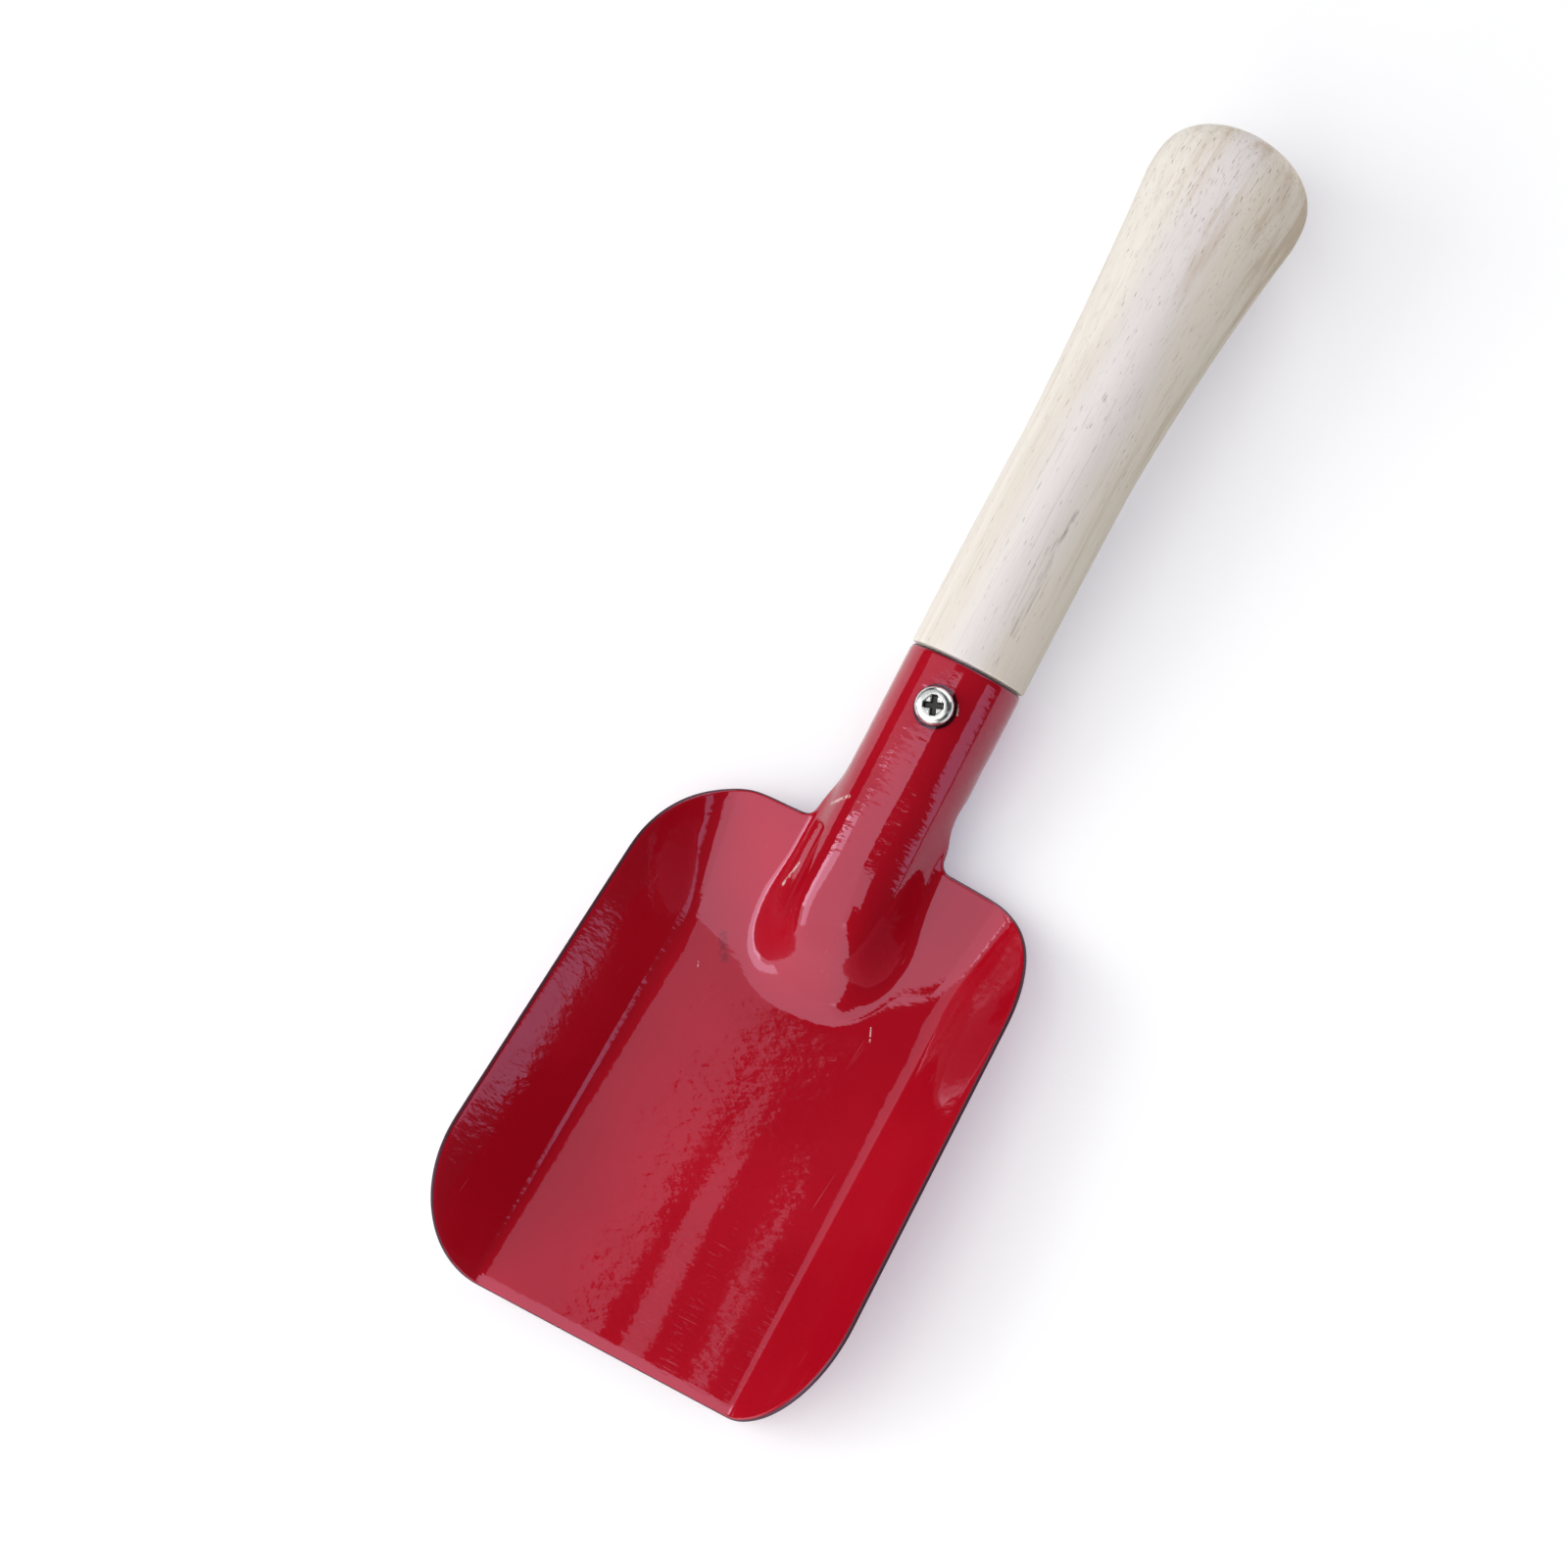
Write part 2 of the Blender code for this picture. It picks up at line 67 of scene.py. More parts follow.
SHOULDER_SKEW_STEEPNESS = 2.8
RAMP_START = 0.0720
LEFT_RAMP_RADIUS = 0.0526
RIGHT_RAMP_RADIUS = 0.0227
RAMP_ANGLE = radians(17)
RAMP_BEND_HALF_WIDTH = 0.0060
MITRE_SHARPNESS = 2.5
SOCKET_RADIUS = 0.01075
SOCKET_LENGTH = 0.0348
SOCKET_TILT = radians(12)
SOCKET_HEIGHT = 0.0069
TONGUE_LENGTH = 0.0060
TONGUE_LEG_ANGLE = radians(62)
TONGUE_NOSE_BLUNTNESS = 3.0
TONGUE_NOSE_STRETCH = 1.8
TONGUE_FILLET_NOSE = 0.0060
TONGUE_FILLET_BACK = 0.0032
NOTCH_WIDTH = 0.0252
NOTCH_RADIUS = 0.0020
SEAM_GAP = 0.0008
SEAM_OPEN_START = 0.0110
SEAM_OPEN_END = 0.0270
HOLE_RADIUS = 0.0024
RIM_INSET = 0.0005
RIM_REACH = 0.00065
SCREW_FROM_RIM = 0.0090
RIPPLE_LENGTH = 0.0126
RIPPLE_SLANT = 0.05
RIPPLE_PHASE = 1.45
RIPPLE_WANDER = 1.5
RIPPLE_TEAR = 1.2
RIPPLE_HEIGHT = 0.00005
RIPPLE_FADE_ALONG = (-0.060, -0.100)
RIPPLE_FADE_ACROSS = (0.004, -0.004)
PEEL_HEIGHT = 0.00003
WAVE_HEIGHT = 0.00006
SCRATCH_DEPTH = 0.00002
PAINTED_SCREW_SHADOW_RADII = (0.0042, 0.0038)
ENAMEL_COLOURS = ((0.360, 0.0028, 0.011), (0.420, 0.0056, 0.016))
SCRATCH_COLOUR = (0.66, 0.30, 0.30)
SCUFF_COLOUR = (0.80, 0.62, 0.60)
DARK_MARK_COLOUR = (0.16, 0.0030, 0.0080)
PAINTED_SCREW_SHADOW_COLOUR = (0.02, 0.0005, 0.001)
PAINTED_RIM_SHADE_COLOUR = (0.018, 0.0008, 0.0025)
DARK_MARK = ((-0.0473, 0.0175), (-0.0512, 0.0151), 0.0013)
SCUFFS = (
    ((-0.0355, 0.0113), (-0.0312, 0.0101), 0.0005),
    ((-0.0195, 0.0094), (-0.0178, 0.0068), 0.0005),
    ((0.0028, -0.0040), (0.0042, -0.0034), 0.0003),
    ((-0.0545, 0.0186), (-0.0537, 0.0190), 0.0002),
    ((-0.0524, -0.0150), (-0.0500, -0.0139), 0.0002),
)
RESTING_PITCH = radians(2.52487)
RESTING_PLACE = np.array([-0.1224897, 0, 0.0044302])

CORNER_ROWS = 20
FLOOR_ROWS = 26
NOSE_ROWS = 24
NOTCH_ROWS = 7
SOCKET_ROWS = 38
TONGUE_STEPS = 18
LEG_STEPS = 7
FLOOR_STEPS = 7
CREASE_STEPS = 6
WALL_STEPS = 11

floor_slope = (FLOOR_WIDTH_BACK - FLOOR_WIDTH_FRONT) / 2 / BLADE_LENGTH
wall_slope = (WALL_HEIGHT_BACK - WALL_HEIGHT_FRONT) / BLADE_LENGTH
nose_x = BLADE_LENGTH - TONGUE_LENGTH
notch_outer = NOTCH_WIDTH / 2 + NOTCH_RADIUS
axis_along = np.array([cos(SOCKET_TILT), 0, sin(SOCKET_TILT)])
axis_up = np.array([-sin(SOCKET_TILT), 0, cos(SOCKET_TILT)])
sideways = np.array([0, 1, 0])
axis_start = np.array([BLADE_LENGTH, 0, SOCKET_HEIGHT])
rim_centre = axis_start + SOCKET_LENGTH * axis_along
screw_hole = rim_centre - SCREW_FROM_RIM * axis_along + SOCKET_RADIUS * axis_up


def laid_down(points):
    """The shovel's own frame, x from lip to butt and z up from the floor's face, pitched
    about y and moved so that the shovel lies on the table."""
    turn = Euler((0, RESTING_PITCH, 0)).to_matrix()
    return points @ np.array(turn).T + RESTING_PLACE


def smoothstep(value):
    """3 v squared less 2 v cubed, for v held between 0 and 1."""
    part = np.clip(value, 0, 1)
    return part * part * (3 - 2 * part)


def spread(start, end, count):
    """Evenly spaced places from start to end, along a new last axis."""
    start, end = np.broadcast_arrays(np.asarray(start, float), np.asarray(end, float))
    return start[..., None] + (end - start)[..., None] * np.linspace(0, 1, count)


def bend_up(distance, half_width):
    """Nought before a bend and the distance after it, joined by a parabola."""
    inside = (distance + half_width) ** 2 / (4 * half_width)
    return np.where(distance < -half_width, 0, np.where(distance > half_width, distance, inside))


def floor_half_width(x):
    """Half the floor's width, narrowing evenly towards the back."""
    return FLOOR_WIDTH_FRONT / 2 + floor_slope * x


def crease_half_width(x):
    """Half the crease's width: tight along the floor, and spreading into the back corner."""
    share = CREASE_EARLY_SHARE * np.clip(x / BLADE_LENGTH, 0, 1)
    late = smoothstep((x - CREASE_SPREAD_START) / (BLADE_LENGTH - CREASE_SPREAD_START))
    share = share + (1 - CREASE_EARLY_SHARE) * late
    return CREASE_HALF_WIDTH_FRONT + (CREASE_HALF_WIDTH_BACK - CREASE_HALF_WIDTH_FRONT) * share


def edge_half_width(x, shoulder_radius):
    """Half the blade's width, less the rim's inset. The flat sheet's outline loses R less
    the root of R squared less d squared at each rounded corner, and what lies past the
    crease goes up the wall."""
    wall = (WALL_HEIGHT_FRONT + wall_slope * x) / sin(WALL_ANGLE) - RIM_INSET
    cut = 0
    for radius, into in ((FRONT_CORNER_RADIUS, x), (shoulder_radius, BLADE_LENGTH - x)):
        inner = radius - RIM_INSET
        corner = np.clip(radius - into, 0, inner)
        cut = cut + inner - np.sqrt(inner**2 - corner**2)
    left = wall - cut
    return floor_half_width(x) + np.where(left > 0, left * cos(WALL_ANGLE), left)


def tongue_height(x, y):
    """The socket's section, an arc with straight legs, carried along its tilted axis. Ahead
    of the nose the distance across becomes the superellipse length of across and ahead."""
    ahead = np.maximum(nose_x - x, 0) / TONGUE_NOSE_STRETCH
    power = TONGUE_NOSE_BLUNTNESS
    across = (np.abs(y) ** power + ahead**power) ** (1 / power)
    reach = SOCKET_RADIUS * sin(TONGUE_LEG_ANGLE)
    arc = np.sqrt(SOCKET_RADIUS**2 - np.minimum(across, reach) ** 2)
    section = arc - np.maximum(across - reach, 0) * tan(TONGUE_LEG_ANGLE)
    axis = SOCKET_HEIGHT - (BLADE_LENGTH - x) * tan(SOCKET_TILT)
    return axis + section / cos(SOCKET_TILT)


def blade_height(x, y):
    """The blade's upper face: wall and ramp meet as a high-powered mean, which leaves a
    mitre between them, and the higher of that and the tongue has a parabolic fillet."""
    past_crease = np.abs(y) - floor_half_width(x)
    wall = bend_up(past_crease, crease_half_width(x)) * tan(WALL_ANGLE)
    behind = x - RAMP_START - y**2 / (2 * np.where(y > 0, LEFT_RAMP_RADIUS, RIGHT_RAMP_RADIUS))
    ramp = bend_up(behind, RAMP_BEND_HALF_WIDTH) * tan(RAMP_ANGLE)
    dish = (wall**MITRE_SHARPNESS + ramp**MITRE_SHARPNESS) ** (1 / MITRE_SHARPNESS)
    tongue = tongue_height(x, y)
    fillet = TONGUE_FILLET_NOSE - TONGUE_FILLET_BACK
    fillet = TONGUE_FILLET_BACK + fillet * smoothstep((nose_x - x) / SOCKET_RADIUS)
    near = np.maximum(fillet - np.abs(dish - tongue), 0)
    lip = LIP_DROP * np.maximum(1 - x / LIP_LENGTH, 0) ** 2
    return np.maximum(dish, tongue) + near**2 / (4 * fillet) - lip


def blade_normals(x, y):
    """Square to the height's slopes, which are differences over two hundredths of a
    millimetre."""
    step = 1e-5
    along = (blade_height(x + step, y) - blade_height(x - step, y)) / (2 * step)
    across = (blade_height(x, y + step) - blade_height(x, y - step)) / (2 * step)
    return np.stack([-along, -across, np.ones_like(along)], axis=-1)


def blade_grid():
    """Cross sections of the blade, as points and normals. Rows crowd round the corners as a
    cosine does, and columns keep to the tongue, its leg, the floor, the crease and the wall."""
    turn = np.linspace(0, pi / 2, CORNER_ROWS)
    front = RIM_INSET + (FRONT_CORNER_RADIUS - RIM_INSET) * (1 - np.cos(turn))
    back = (LEFT_SHOULDER_RADIUS - RIM_INSET) * (1 - np.cos(turn[::-1]))
    back = BLADE_LENGTH - RIM_INSET - back
    nose_start = nose_x - TONGUE_NOSE_STRETCH * (SOCKET_RADIUS + 1.2 * TONGUE_FILLET_NOSE)
    plain = np.linspace(front[-1], nose_start, FLOOR_ROWS)[1:]
    nose = np.linspace(nose_start, back[0], NOSE_ROWS)[1:-1]
    x = np.concatenate([front, plain, nose, back])
    tongue = SOCKET_RADIUS * np.sin(np.linspace(0, TONGUE_LEG_ANGLE, TONGUE_STEPS + 1))
    leg = np.linspace(tongue[-1], notch_outer, LEG_STEPS + 1)[1:]
    shared = np.tile(np.concatenate([tongue, leg]), (len(x), 1))
    halves = []
    for shoulder_radius in (RIGHT_SHOULDER_RADIUS, LEFT_SHOULDER_RADIUS):
        edge = edge_half_width(x, shoulder_radius)
        bend = np.minimum(crease_half_width(x), (edge - notch_outer) / 4)
        crease = np.minimum(floor_half_width(x), edge - 1.3 * bend)
        ground = spread(notch_outer, crease - bend, FLOOR_STEPS + 1)[:, 1:]
        curve = spread(crease - bend, crease + bend, CREASE_STEPS + 1)[:, 1:]
        wall = spread(crease + bend, edge, WALL_STEPS + 1)[:, 1:]
        halves.append(np.hstack([shared, ground, curve, wall]))
    y = np.hstack([-halves[0][:, :0:-1], halves[1]])
    x = np.broadcast_to(x[:, None], y.shape)
    middle = BLADE_LENGTH / 2
    front_skew = FRONT_SKEW * smoothstep((middle - x) / middle) * (0.5 - y / FLOOR_WIDTH_FRONT)
    side = np.tanh(SHOULDER_SKEW_STEEPNESS * y / NOTCH_WIDTH)
    rear_skew = SHOULDER_SKEW * smoothstep((x - middle) / middle) * side
    points = np.stack([x + front_skew - rear_skew, y, blade_height(x, y)], axis=-1)
    return points, blade_normals(x, y)


def socket_grid(shoulder):
    """Sections of the socket, from the blade's last row on, as points and normals. Each
    slides along the tilted axis while it turns from upright to square, and its legs curl in
    until the section is a circle. Its half width is a round notch, then widens until the
    seam nearly closes. The normals are products of the grid's two directions."""
    across = shoulder[:, 1]
    axis_height = SOCKET_HEIGHT - RIM_INSET * tan(SOCKET_TILT)
    up = (shoulder[:, 2] - axis_height) * cos(SOCKET_TILT)
    middle = len(across) // 2
    steps = np.hypot(np.diff(across), np.diff(up))
    arc = np.concatenate([[0], np.cumsum(steps)])
    arc -= arc[middle]
    notch = np.interp(NOTCH_WIDTH / 2, across[middle:], arc[middle:]) - RIM_INSET
    inner = NOTCH_RADIUS + RIM_INSET
    turn = inner * (1 - np.cos(np.linspace(0, pi / 2, NOTCH_ROWS))) - RIM_INSET
    beyond = np.linspace(NOTCH_RADIUS, SOCKET_LENGTH - RIM_INSET, SOCKET_ROWS)
    along = np.concatenate([turn[1:], beyond[1:]])[:, None]
    full = pi * SOCKET_RADIUS - SEAM_GAP / 2 - RIM_INSET
    closing = smoothstep((along - SEAM_OPEN_START) / (SEAM_OPEN_END - SEAM_OPEN_START))
    before = np.maximum(NOTCH_RADIUS - along, 0) / inner
    rounding = (arc[-1] - notch) * (1 - np.sqrt(1 - before**2))
    here = arc / arc[-1] * (notch + (full - notch) * closing + rounding)
    leg_angle = TONGUE_LEG_ANGLE + (pi - TONGUE_LEG_ANGLE) * smoothstep(along / SEAM_OPEN_END)
    arc_end = SOCKET_RADIUS * leg_angle
    angle = np.minimum(np.abs(here), arc_end) / SOCKET_RADIUS
    leg = np.maximum(np.abs(here) - arc_end, 0)
    round_across = np.sign(here) * (SOCKET_RADIUS * np.sin(angle) + leg * np.cos(leg_angle))
    round_up = SOCKET_RADIUS * np.cos(angle) - leg * np.sin(leg_angle)
    rolled = smoothstep(along / SEAM_OPEN_START)
    row_up = rolled * round_up + (1 - rolled) * np.interp(here, arc, up)
    upright = 1 - smoothstep(along / SOCKET_LENGTH)
    forward = along + upright * row_up * tan(SOCKET_TILT)
    place = axis_start + forward[..., None] * axis_along + row_up[..., None] * axis_up
    place[..., 1] = rolled * round_across + (1 - rolled) * np.interp(here, arc, across)
    place[..., 0] += (shoulder[:, 0] - shoulder[middle, 0]) * (1 - rolled)
    whole = np.concatenate([shoulder[None], place])
    normals = np.cross(np.gradient(whole, axis=0), np.gradient(whole, axis=1))
    return place, normals[1:]


def grid_faces(index):
    """Quads between neighbouring rows and columns of a grid of vertex numbers."""
    low, high = index[:-1], index[1:]
    quads = np.stack([low[:, :-1], high[:, :-1], high[:, 1:], low[:, 1:]], axis=-1)
    return quads.reshape(-1, 4)


def new_piece(name, points, faces, finish):
    """An object on the shovel's body, from arrays of points and of faces."""
    mesh = bpy.data.meshes.new(name)
    mesh.from_pydata(points.tolist(), [], faces)
    mesh.materials.append(finish)
    mesh.shade_smooth()
    made = bpy.data.objects.new(name, mesh)
    bpy.context.scene.collection.objects.link(made)
    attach(made, "root")
    return made


class Wire:
    """A node's output. Python's operators on it add Math nodes to the same finish."""

    def __init__(self, finish, socket):
        self.finish = finish
        self.socket = socket

    def maths(self, operation, *values):
        return self.finish.add("Math", {"operation": operation}, dict(enumerate(values)))

    def __add__(self, other):
        return self.maths("ADD", self, other)

    def __radd__(self, other):
        return self.maths("ADD", other, self)

    def __sub__(self, other):
        return self.maths("SUBTRACT", self, other)

    def __rsub__(self, other):
        return self.maths("SUBTRACT", other, self)

    def __mul__(self, other):
        return self.maths("MULTIPLY", self, other)

    def __rmul__(self, other):
        return self.maths("MULTIPLY", other, self)

    def __pow__(self, other):
        return self.maths("POWER", self, other)

    def __abs__(self):
        return self.maths("ABSOLUTE", self)


class Finish:
    """A material in the making. Every node but an operator's comes from add()."""

    def __init__(self, name):
        self.material = bpy.data.materials.new(name)
        self.material.use_nodes = True
        self.shader = self.material.node_tree.nodes["Principled BSDF"]

    def feed(self, socket, value):
        if isinstance(value, Wire):
            self.material.node_tree.links.new(value.socket, socket)
        else:
            socket.default_value = value

    def add(self, kind, settings=None, values=None, output=0):
        """A new node, with its settings made first, then its sockets by name or number."""
        node = self.material.node_tree.nodes.new("ShaderNode" + kind)
        for key, value in (settings or {}).items():
            setattr(node, key, value)
        for key, value in (values or {}).items():
            self.feed(node.inputs[key], value)
        return Wire(self, node.outputs[output])

    def surface(self, **values):
        """Sets the shader's own sockets, with an underscore for each space in a name."""
        for key, value in values.items():
            self.feed(self.shader.inputs[key.replace("_", " ")], value)

    def noise(self, place, scale, detail=2.0, roughness=0.5, distortion=0.0):
        settings = {"Vector": place, "Scale": scale, "Detail": detail}
        settings |= {"Roughness": roughness, "Distortion": distortion}
        return self.add("TexNoise", values=settings)

    def stretched(self, place, scale, turn=(0, 0, 0)):
        """A place with each axis scaled, after a turn about the origin."""
        turned = self.add("VectorRotate", {"rotation_type": "EULER_XYZ"}, {0: place, 4: turn})
        return self.add("VectorMath", {"operation": "MULTIPLY"}, {0: turned, 1: scale})

    def ease(self, value, low, high, start=0.0, end=1.0):
        """A smooth step from start to end as the value goes from low to high."""
        settings = {"interpolation_type": "SMOOTHSTEP"}
        return self.add("MapRange", settings, {0: value, 1: low, 2: high, 3: start, 4: end})

    def blend(self, mask, first, second):
        """The first colour where the mask is nought, and the second where it is one."""
        colours = [(*c, 1) if isinstance(c, tuple) else c for c in (first, second)]
        settings = {"data_type": "RGBA"}
        return self.add("Mix", settings, {0: mask, 6: colours[0], 7: colours[1]}, 2)

    def bump(self, height, distance, strength=1.0, under=None):
        values = {"Height": height, "Distance": distance, "Strength": strength}
        if under:
            values["Normal"] = under
        return self.add("Bump", values=values)

    def place(self):
        """The object's own coordinates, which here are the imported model's metres."""
        return self.add("TexCoord", output="Object")


def stroke(finish, place, start, end, width):
    """A mask that is one on the line from start to end, seen from above: the width less the
    distance to the nearest point of the line, over the width."""
    along = np.array([*end, 0]) - np.array([*start, 0])
    length = float(np.hypot(*along[:2]))
    along = tuple(along / length)
    beside = (-along[1], along[0], 0)
    offset = finish.add("VectorMath", {"operation": "SUBTRACT"}, {0: place, 1: (*start, 0)})
    forward = finish.add("VectorMath", {"operation": "DOT_PRODUCT"}, {0: offset, 1: along}, 1)
    aside = finish.add("VectorMath", {"operation": "DOT_PRODUCT"}, {0: offset, 1: beside}, 1)
    past = abs(forward - length / 2) - length / 2
    distance = (past.maths("MAXIMUM", past, 0) ** 2 + aside**2) ** 0.5
    return finish.ease(distance, 0, width, 1, 0)


def red_enamel():
    """Dipped enamel: an even deep red under a glossy skin with a slight orange peel. The
    floor has lengthwise ripples with torn sides, which fade towards the tongue. There are
    fine rubbing scratches, white scuffs and specks, and a small darker red mark. Painted
    shade makes the sheet's rounded rim almost black, and a painted shadow darkens a ring
    round the screw."""
    finish = Finish("red_enamel")
    place = finish.place()
    cloud = finish.ease(finish.noise(place, 28, 3), 0.35, 0.7)
    colour = finish.blend(cloud, *ENAMEL_COLOURS)
    fine = finish.stretched(place, (30, 2600, 900), (0, 0, radians(4)))
    rubbed = finish.ease(finish.noise(fine, 1, 2), 0.70, 0.80)
    patch = finish.ease(finish.noise(place, 60, 2), 0.52, 0.66)
    scratches = rubbed * patch
    speck_place = finish.add("TexVoronoi", {"feature": "F1"}, {"Vector": place, "Scale": 170})
    speck = finish.ease(speck_place, 0.030, 0.055, 1, 0)
    few = finish.ease(finish.noise(place, 75, 1), 0.60, 0.68)
    specks = speck * few
    faint = scratches * 0.35
    marks = faint.maths("MAXIMUM", faint, specks * 0.6)
    colour = finish.blend(marks, colour, SCRATCH_COLOUR)
    ragged = finish.ease(finish.noise(place, 1500, 2), 0.35, 0.60)
    for start, end, width in SCUFFS:
        scuff = stroke(finish, place, start, end, width) * ragged
        colour = finish.blend(scuff * 0.9, colour, SCUFF_COLOUR)
    # A small darker red mark with ragged sides, on the floor's left.
    dark_mark = stroke(finish, place, *DARK_MARK) * ragged
    colour = finish.blend(dark_mark * 0.8, colour, DARK_MARK_COLOUR)
    # Painted shadow: under the screw's head and in a thin ring round it, the enamel is coloured
    # almost black for the shade the head casts.
    middle = tuple(laid_down(screw_hole).tolist())
    around_screw = finish.add("VectorMath", {"operation": "DISTANCE"}, {0: place, 1: middle}, 1)
    painted_screw_shadow = finish.ease(around_screw, *PAINTED_SCREW_SHADOW_RADII)
    colour = finish.blend(painted_screw_shadow, colour, PAINTED_SCREW_SHADOW_COLOUR)
    # Painted shade: the sheet's rounded rim is coloured almost black all round, and it is made
    # rougher.
    edge = finish.add("Attribute", {"attribute_name": "rim"}, output="Fac")
    edge = finish.ease(edge, 0.03, 0.30)
    colour = finish.blend(edge * 0.95, colour, PAINTED_RIM_SHADE_COLOUR)
    smudge = finish.ease(finish.noise(place, 45, 4, 0.6), 0.40, 0.75)
    along = finish.add("SeparateXYZ", values={"Vector": place}, output=0)
    across = finish.add("SeparateXYZ", values={"Vector": place}, output=1)
    wander = finish.noise(finish.stretched(place, (14, 90, 90)), 1, 3, 0.6)
    torn = finish.noise(finish.stretched(place, (1700, 160, 160)), 1, 3, 0.6)
    phase = (across - along * RIPPLE_SLANT) * (2 * pi / RIPPLE_LENGTH)
    phase = phase + wander * RIPPLE_WANDER + torn * RIPPLE_TEAR + RIPPLE_PHASE
    ripple = phase.maths("SINE", phase) * finish.ease(along, *RIPPLE_FADE_ALONG)
    ripple = ripple * finish.ease(across, *RIPPLE_FADE_ACROSS)
    peel = finish.noise(finish.stretched(place, (900, 420, 420)), 1, 2, 0.5)
    wave = finish.noise(place, 95, 2, 0.5)
    skin = finish.bump(ripple, RIPPLE_HEIGHT, 1.0)
    skin = finish.bump(peel, PEEL_HEIGHT, 1.0, skin)
    skin = finish.bump(wave, WAVE_HEIGHT, 1.0, skin)
    skin = finish.bump(scratches, -SCRATCH_DEPTH, 1.0, skin)
    rough = 0.05 + smudge * 0.04 + marks * 0.3 + edge * 0.4
    finish.surface(Base_Color=colour, Roughness=rough, Normal=skin)
    finish.surface(IOR=1.62, Specular_Tint=(0.95, 0.72, 1.0, 1))
    return finish.material


def folded_sheet(points, normals, faces):
    """Closes a sheet. Its lower face is the upper one moved down by the thickness. Each edge
    that only one face uses gets a rim, whose middle stands out along the cross product of
    the edge's direction and the normal. The last array is one on those middles."""
    normals = normals / np.linalg.norm(normals, axis=1, keepdims=True)
    count = len(points)
    start = faces.ravel()
    end = np.roll(faces, -1, axis=1).ravel()
    single = ~np.isin(start * count + end, end * count + start)
    start, end = start[single], end[single]
    following = np.zeros(count, int)
    following[start] = end
    before = np.zeros(count, int)
    before[end] = start
    tangent = points[following[start]] - points[before[start]]
    outward = np.cross(tangent, normals[start])
    outward /= np.linalg.norm(outward, axis=1, keepdims=True)
    middle = points[start] - normals[start] * SHEET / 2 + outward * RIM_REACH
    ring = np.zeros(count, int)
    ring[start] = 2 * count + np.arange(len(start))
    upper_rim = np.stack([end, start, ring[start], ring[end]], axis=1)
    lower_rim = np.stack([ring[end], ring[start], start + count, end + count], axis=1)
    every_point = np.concatenate([points, points - normals * SHEET, middle])
    every_face = np.concatenate([faces, faces[:, ::-1] + count, upper_rim, lower_rim])
    on_rim = np.repeat([0.0, 1.0], [2 * count, len(middle)])
    return every_point, every_face, on_rim


def build_blade():
    """The blade's and the socket's grids share a row. A round hole is left for the screw:
    faces within it go, and the points round it move out to its edge."""
    blade, blade_facing = blade_grid()
    rows, columns = blade.shape[:2]
    middle = columns // 2
    shared = slice(middle - TONGUE_STEPS - LEG_STEPS, middle + TONGUE_STEPS + LEG_STEPS + 1)
    socket, socket_facing = socket_grid(blade[-1, shared])
    blade_index = np.arange(rows * columns).reshape(rows, columns)
    socket_index = rows * columns + np.arange(socket.shape[0] * socket.shape[1])
    socket_index = socket_index.reshape(socket.shape[:2])
    joined = np.vstack([blade_index[-1:, shared], socket_index])
    points = np.concatenate([blade.reshape(-1, 3), socket.reshape(-1, 3)])
    normals = np.concatenate([blade_facing.reshape(-1, 3), socket_facing.reshape(-1, 3)])
    faces = np.concatenate([grid_faces(blade_index), grid_faces(joined)])
    offset = points - screw_hole
    flat = np.stack([offset @ axis_along, offset @ sideways], axis=1)
    distance = np.hypot(*flat.T)
    above = offset @ axis_up > -SOCKET_RADIUS / 2
    cut = (distance[faces].mean(axis=1) < HOLE_RADIUS) & above[faces].all(axis=1)
    edge = np.intersect1d(faces[cut], faces[~cut])
    moved = flat[edge] * (HOLE_RADIUS / distance[edge] - 1)[:, None]
    points[edge] += moved[:, :1] * axis_along + moved[:, 1:] * sideways
    used, faces = np.unique(faces[~cut], return_inverse=True)
    points, faces, on_rim = folded_sheet(points[used], normals[used], faces.reshape(-1, 4))
    made = new_piece("shovel_blade", laid_down(points), faces.tolist(), red_enamel())
    attribute = made.data.attributes.new("rim", "FLOAT", "POINT")
    attribute.data.foreach_set("value", on_rim)
    smooth = made.modifiers.new("rounded_rim", "SUBSURF")
    smooth.levels = smooth.render_levels = 1
    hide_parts("blade")


build_blade()

# The handle is one stick of pale hardwood, turned and then bowed. Its shank fills the
# socket, a small step meets the socket's rim, and the grip swells to a round butt. It is
# sanded and left bare, so its pores and darker streaks show along the grain.
NECK_RADIUS = 0.01095
NECK_LENGTH = 0.0400
GRIP_LENGTH = 0.10998
GRIP_BEND_RADIUS = 0.3520
BUTT_RADIUS = 0.01503
BUTT_LENGTH = 0.0130
BUTT_BLUNTNESS = 3.6
SWELL_POWER = 1.45
SWELL_HOLLOW = 0.06
SHANK_LENGTH = 0.0210
SHANK_CHAMFER = 0.0025
SHANK_TAPER = 0.0006
SHOULDER_CHAMFER = 0.0004
CLEARANCE = 0.0003
HANDLE_SIDES = 96
NECK_RINGS = 30
SWELL_RINGS = 60
BUTT_RINGS = 30
BUTT_FLECKS = (0.070, 0.104)
DARK_STREAK = ((0.008, -0.0046), (0.032, -0.0042), 0.0007)
DARK_STREAK_DRIFT = 0.003
LAYER_COLOURS = ((0.73, 0.665, 0.585), (0.83, 0.775, 0.715))
PAINTED_SHEEN_COLOUR = (0.80, 0.74, 0.765)
FLANK_COLOUR = (0.88, 0.76, 0.62)
STREAK_COLOUR = (0.50, 0.36, 0.22)
FIBRE_COLOUR = (0.44, 0.34, 0.27)
PORE_COLOUR = (0.25, 0.17, 0.10)
DARK_STREAK_COLOUR = (0.40, 0.33, 0.33)
FIBRE_HEIGHT = 0.00005
PORE_DEPTH = 0.00008


